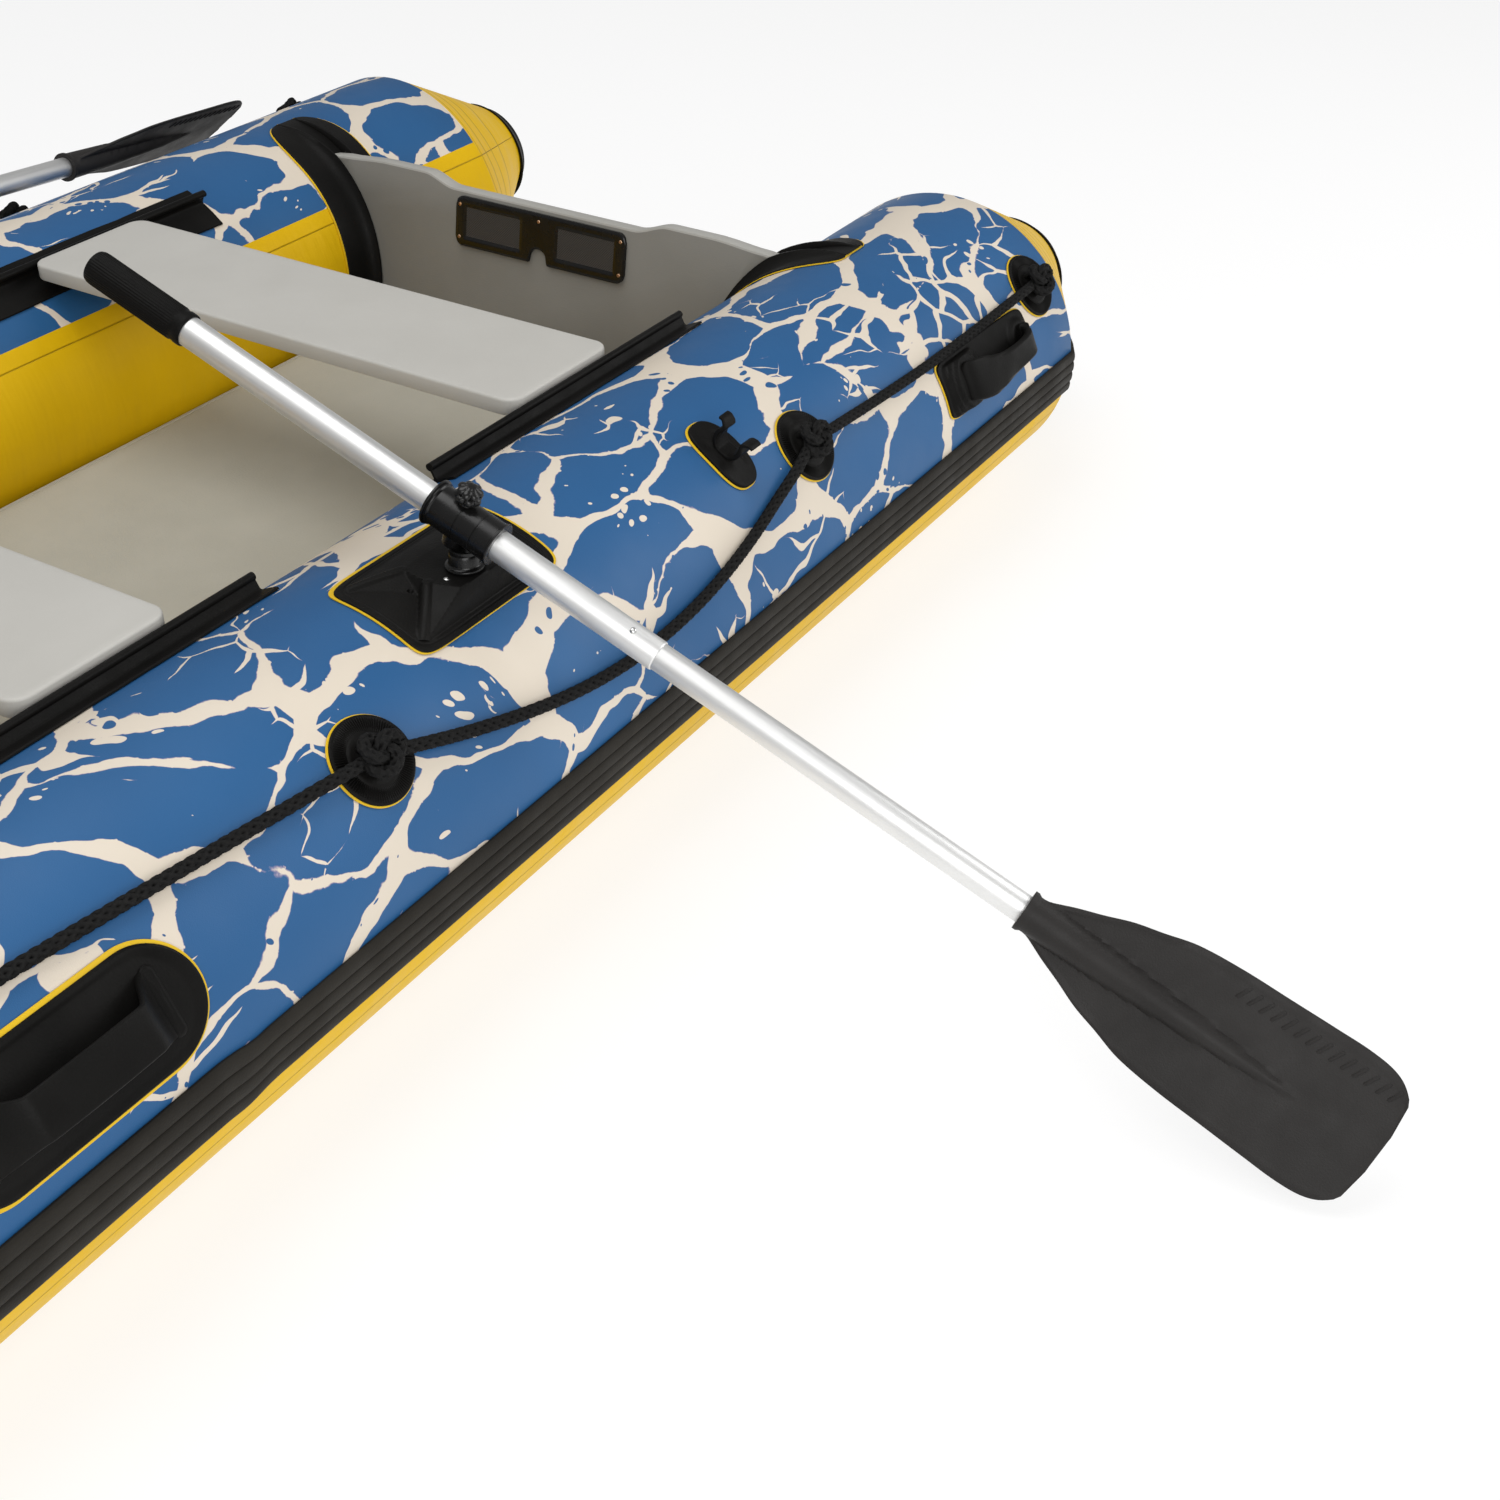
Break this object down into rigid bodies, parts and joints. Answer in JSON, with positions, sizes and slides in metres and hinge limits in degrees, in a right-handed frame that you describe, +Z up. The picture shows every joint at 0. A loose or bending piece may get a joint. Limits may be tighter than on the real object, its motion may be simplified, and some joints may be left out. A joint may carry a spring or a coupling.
{
  "type": "inflatable boat",
  "caption": "Inflatable boat with printed tubes, an inflated deck, sliding bench seats, a transom for a motor, a grab line and oars on swivelling rowlocks.",
  "frame": {"origin": "on the ground under the middle of the hull, at the bottom of the keel guard", "axes": "+X to port, +Y aft, +Z up"},
  "size_m": [2.4343, 3.2229, 0.6823],
  "materials": {
    "print_fabric": "PVC-coated fabric, blue with cream veins, satin",
    "yellow_fabric": "PVC-coated fabric, yellow, satin",
    "deck_fabric": "coated drop-stitch fabric, grey-beige, matt",
    "transom_board": "painted marine plywood, grey, matt",
    "seat_board": "painted marine plywood, light grey, satin",
    "black_rope": "braided synthetic cord, matt",
    "satin_aluminium": "satin anodised",
    "steel": "polished",
    "black_plastic": "moulded, satin",
    "black_rubber": "moulded PVC or rubber, satin"
  },
  "bodies": {
    "hull": {"air_deck": "deck_fabric", "bow_handle": "black_rubber", "bow_tube": "print_fabric", "bow_valve": "black_plastic", "grab_line": "black_rope", "hull_bottom": "yellow_fabric", "inner_motor_pad": "black_plastic", "keel_guard": "black_rubber", "outer_motor_pad": "black_plastic", "port_aft_seat_track": "black_rubber", "port_forward_seat_track": "black_rubber", "port_oar_clip": "black_rubber", "port_rope_eye_1": "black_rubber", "port_rope_eye_2": "black_rubber", "port_rope_eye_3": "black_rubber", "port_rope_eye_4": "black_rubber", "port_rowlock_base": "black_rubber", "port_side_handle": "black_rubber", "port_stern_cap": "black_rubber", "port_stern_handle": "black_rubber", "port_transom_flange": "black_rubber", "port_tube": "print_fabric", "port_valve": "black_plastic", "rub_strake": "black_rubber", "starboard_aft_seat_track": "black_rubber", "starboard_forward_seat_track": "black_rubber", "starboard_oar_clip": "black_rubber", "starboard_rope_eye_1": "black_rubber", "starboard_rope_eye_2": "black_rubber", "starboard_rope_eye_3": "black_rubber", "starboard_rope_eye_4": "black_rubber", "starboard_rowlock_base": "black_rubber", "starboard_side_handle": "black_rubber", "starboard_stern_cap": "black_rubber", "starboard_stern_handle": "black_rubber", "starboard_transom_flange": "black_rubber", "starboard_tube": "print_fabric", "starboard_valve": "black_plastic", "transom_board": "transom_board"},
    "aft_seat": {"aft_seat": "seat_board"},
    "forward_seat": {"forward_seat": "seat_board"},
    "port_swivel": {"port_rowlock_swivel": "black_plastic"},
    "port_oar": {"port_oar_grip": "black_rubber", "port_oar_upper_shaft": "satin_aluminium", "port_oar_lower_shaft": "satin_aluminium", "port_oar_sleeve": "black_plastic", "port_oar_blade": "black_plastic"},
    "port_knob": {"port_oar_knob": "black_plastic"},
    "port_button": {"port_oar_snap_button": "steel"},
    "starboard_swivel": {"starboard_rowlock_swivel": "black_plastic"},
    "starboard_oar": {"starboard_oar_grip": "black_rubber", "starboard_oar_upper_shaft": "satin_aluminium", "starboard_oar_lower_shaft": "satin_aluminium", "starboard_oar_sleeve": "black_plastic", "starboard_oar_blade": "black_plastic"},
    "starboard_knob": {"starboard_oar_knob": "black_plastic"},
    "starboard_button": {"starboard_oar_snap_button": "steel"},
    "port_valve_cap": {"port_valve_cap": "black_plastic"},
    "starboard_valve_cap": {"starboard_valve_cap": "black_plastic"},
    "bow_valve_cap": {"bow_valve_cap": "black_plastic"}
  },
  "joints": [
    {"name": "port_oar_swing", "type": "hinge", "parent": "hull", "child": "port_swivel", "pos_m": [0.6155, 0.0853, 0.48229], "axis": [0, 0, 1], "range_deg": [-55, 55]},
    {"name": "port_oar_lift", "type": "hinge", "parent": "port_swivel", "child": "port_oar", "pos_m": [0.6155, 0.0853, 0.48229], "axis": [0.0671, -0.9977, 0], "range_deg": [0, 26]},
    {"name": "port_knob_turn", "type": "hinge", "parent": "port_oar", "child": "port_knob", "pos_m": [0.62427, 0.08589, 0.50333], "axis": [0.3847, 0.0259, 0.9227], "range_deg": [0, 180]},
    {"name": "port_button_press", "type": "slide", "parent": "port_oar", "child": "port_button", "axis": [-0.3781, 0.3886, -0.8403], "range_m": [0, 0.004], "stiffness_N_per_m": 600, "springref_m": -0.003},
    {"name": "starboard_oar_swing", "type": "hinge", "parent": "hull", "child": "starboard_swivel", "pos_m": [-0.6155, 0.0853, 0.48229], "axis": [0, 0, 1], "range_deg": [0, 135]},
    {"name": "starboard_oar_lift", "type": "hinge", "parent": "starboard_swivel", "child": "starboard_oar", "pos_m": [-0.6155, 0.0853, 0.48229], "axis": [0.991, 0.134, 0], "range_deg": [0, 9]},
    {"name": "starboard_knob_turn", "type": "hinge", "parent": "starboard_oar", "child": "starboard_knob", "pos_m": [-0.61586, 0.08794, 0.50494], "axis": [-0.0156, 0.1156, 0.9932], "range_deg": [0, 180]},
    {"name": "starboard_button_press", "type": "slide", "parent": "starboard_oar", "child": "starboard_button", "axis": [0.1363, -0.0984, -0.9858], "range_m": [0, 0.004], "stiffness_N_per_m": 600, "springref_m": -0.003},
    {"name": "aft_seat_slide", "type": "slide", "parent": "hull", "child": "aft_seat", "axis": [0, 1, 0], "range_m": [-0.17, 0.135]},
    {"name": "forward_seat_slide", "type": "slide", "parent": "hull", "child": "forward_seat", "axis": [0, 1, 0], "range_m": [-0.21, 0.1]},
    {"name": "port_valve_cap_turn", "type": "hinge", "parent": "hull", "child": "port_valve_cap", "pos_m": [0.3293, -0.32, 0.27815], "axis": [-0.9483, 0, 0.3173], "range_deg": [0, 90]},
    {"name": "starboard_valve_cap_turn", "type": "hinge", "parent": "hull", "child": "starboard_valve_cap", "pos_m": [-0.3293, -0.32, 0.27815], "axis": [0.9483, 0, 0.3173], "range_deg": [0, 90]},
    {"name": "bow_valve_cap_turn", "type": "hinge", "parent": "hull", "child": "bow_valve_cap", "pos_m": [0.3293, -0.56, 0.27815], "axis": [-0.9483, 0, 0.3173], "range_deg": [0, 90]}
  ]
}
